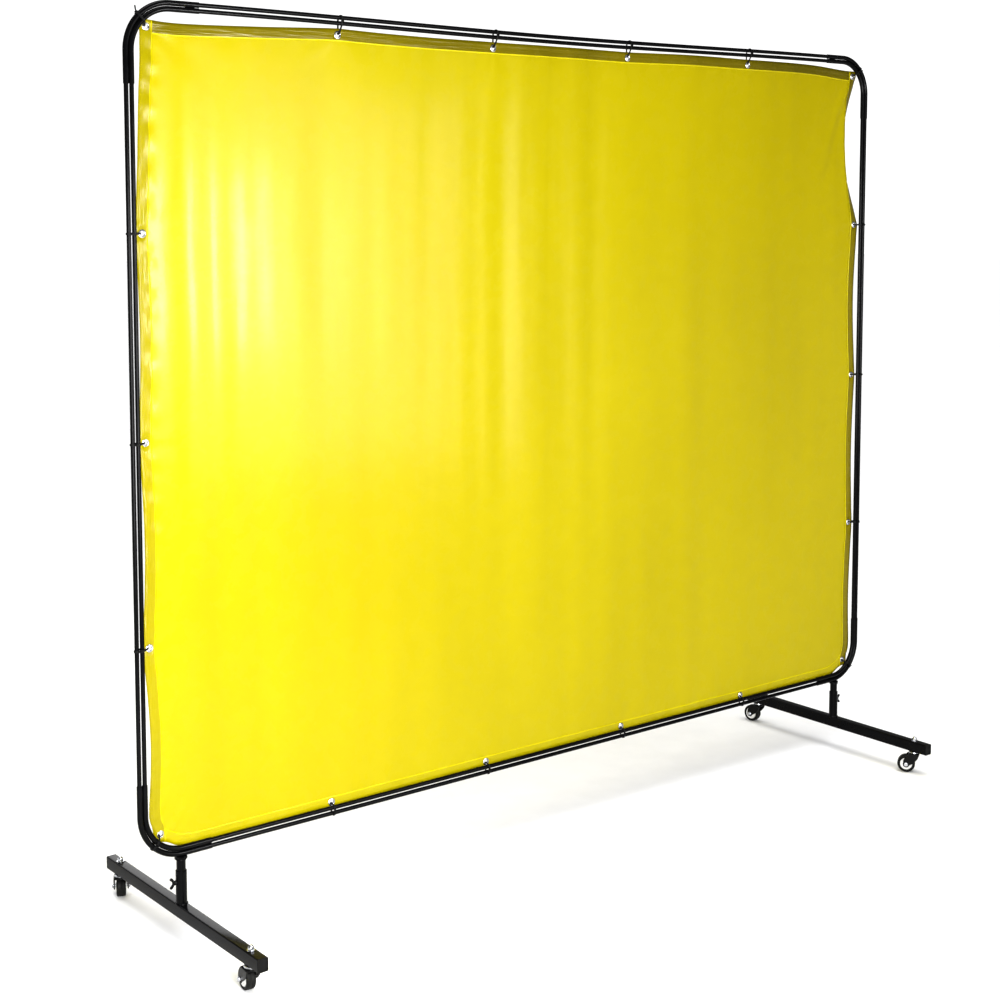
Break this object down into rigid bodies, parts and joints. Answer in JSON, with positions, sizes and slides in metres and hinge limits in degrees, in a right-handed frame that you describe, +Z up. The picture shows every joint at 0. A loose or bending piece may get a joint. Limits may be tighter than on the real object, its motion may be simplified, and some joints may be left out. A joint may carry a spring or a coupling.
{
  "type": "welding curtain screen",
  "caption": "Free-standing welding screen: a yellow vinyl curtain tied inside a rounded double-tube steel frame on two turning feet with swivel casters.",
  "frame": {"origin": "on the floor under the centre of the screen", "axes": "+X along the screen to its right end, +Y from the front to the back, +Z up"},
  "size_m": [2.403, 0.7046, 2.069],
  "materials": {
    "black_powder_coat": "gloss",
    "caster_black": "satin",
    "zinc_steel": "satin",
    "black_nylon": "satin",
    "grey_plastic": "satin",
    "black_rubber": "matte",
    "yellow_vinyl": "gloss"
  },
  "bodies": {
    "screen": {"corner_bottom_left": "black_powder_coat", "corner_bottom_right": "black_powder_coat", "corner_top_left": "black_powder_coat", "corner_top_right": "black_powder_coat", "tube_bottom_outer": "black_powder_coat", "tube_bottom_inner": "black_powder_coat", "tube_top_outer": "black_powder_coat", "tube_top_inner": "black_powder_coat", "tube_left_outer": "black_powder_coat", "tube_left_inner": "black_powder_coat", "tube_right_outer": "black_powder_coat", "tube_right_inner": "black_powder_coat", "curtain": "yellow_vinyl", "tie_bottom_1": "black_nylon", "tie_bottom_2": "black_nylon", "tie_bottom_3": "black_nylon", "tie_bottom_4": "black_nylon", "tie_top_1": "black_nylon", "tie_top_2": "black_nylon", "tie_top_3": "black_nylon", "tie_top_4": "black_nylon", "tie_left_1": "black_nylon", "tie_left_2": "black_nylon", "tie_left_3": "black_nylon", "tie_right_1": "black_nylon", "tie_right_2": "black_nylon", "tie_right_3": "black_nylon", "tie_bottom_left": "black_nylon", "tie_bottom_right": "black_nylon", "tie_top_left": "black_nylon", "tie_top_right": "black_nylon"},
    "foot_left": {"foot_bar_left": "black_powder_coat", "plug_front_left": "black_nylon", "plug_rear_left": "black_nylon", "stem_front_left": "zinc_steel", "stem_rear_left": "zinc_steel"},
    "clamp_left": {"clamp_screw_left": "black_nylon"},
    "caster_front_left": {"fork_front_left": "caster_black", "axle_front_left": "zinc_steel"},
    "wheel_front_left": {"hub_front_left": "grey_plastic", "tyre_front_left": "black_rubber"},
    "caster_rear_left": {"fork_rear_left": "caster_black", "axle_rear_left": "zinc_steel"},
    "wheel_rear_left": {"hub_rear_left": "grey_plastic", "tyre_rear_left": "black_rubber"},
    "foot_right": {"foot_bar_right": "black_powder_coat", "plug_front_right": "black_nylon", "plug_rear_right": "black_nylon", "stem_front_right": "zinc_steel", "stem_rear_right": "zinc_steel"},
    "clamp_right": {"clamp_screw_right": "black_nylon"},
    "caster_front_right": {"fork_front_right": "caster_black", "axle_front_right": "zinc_steel"},
    "wheel_front_right": {"hub_front_right": "grey_plastic", "tyre_front_right": "black_rubber"},
    "caster_rear_right": {"fork_rear_right": "caster_black", "axle_rear_right": "zinc_steel"},
    "wheel_rear_right": {"hub_rear_right": "grey_plastic", "tyre_rear_right": "black_rubber"}
  },
  "joints": [
    {"name": "foot_turn_left", "type": "hinge", "parent": "screen", "child": "foot_left", "pos_m": [-1.097, 0, 0.132], "axis": [0, 0, 1], "range_deg": [-90, 90]},
    {"name": "clamp_turn_left", "type": "hinge", "parent": "foot_left", "child": "clamp_left", "pos_m": [-1.113, 0, 0.142], "axis": [-1, 0, 0], "range_deg": [0, 540]},
    {"name": "swivel_front_left", "type": "hinge", "parent": "foot_left", "child": "caster_front_left", "pos_m": [-1.097, -0.303, 0.0555], "axis": [0, 0, 1], "continuous": true},
    {"name": "roll_front_left", "type": "hinge", "parent": "caster_front_left", "child": "wheel_front_left", "pos_m": [-1.0947, -0.28112, 0.025], "axis": [-0.9945, 0.1045, 0], "continuous": true},
    {"name": "swivel_rear_left", "type": "hinge", "parent": "foot_left", "child": "caster_rear_left", "pos_m": [-1.097, 0.303, 0.0555], "axis": [0, 0, 1], "continuous": true},
    {"name": "roll_rear_left", "type": "hinge", "parent": "caster_rear_left", "child": "wheel_rear_left", "pos_m": [-1.08701, 0.3226, 0.025], "axis": [-0.891, 0.454, 0], "continuous": true},
    {"name": "foot_turn_right", "type": "hinge", "parent": "screen", "child": "foot_right", "pos_m": [1.097, 0, 0.132], "axis": [0, 0, 1], "range_deg": [-90, 90]},
    {"name": "clamp_turn_right", "type": "hinge", "parent": "foot_right", "child": "clamp_right", "pos_m": [1.113, 0, 0.142], "axis": [1, 0, 0], "range_deg": [0, 540]},
    {"name": "swivel_front_right", "type": "hinge", "parent": "foot_right", "child": "caster_front_right", "pos_m": [1.097, -0.303, 0.0555], "axis": [0, 0, 1], "continuous": true},
    {"name": "roll_front_right", "type": "hinge", "parent": "caster_front_right", "child": "wheel_front_right", "pos_m": [1.08438, -0.28498, 0.025], "axis": [-0.8192, -0.5736, 0], "continuous": true},
    {"name": "swivel_rear_right", "type": "hinge", "parent": "foot_right", "child": "caster_rear_right", "pos_m": [1.097, 0.303, 0.0555], "axis": [0, 0, 1], "continuous": true},
    {"name": "roll_rear_right", "type": "hinge", "parent": "caster_rear_right", "child": "wheel_rear_right", "pos_m": [1.09318, 0.32467, 0.025], "axis": [-0.9848, -0.1736, 0], "continuous": true}
  ]
}
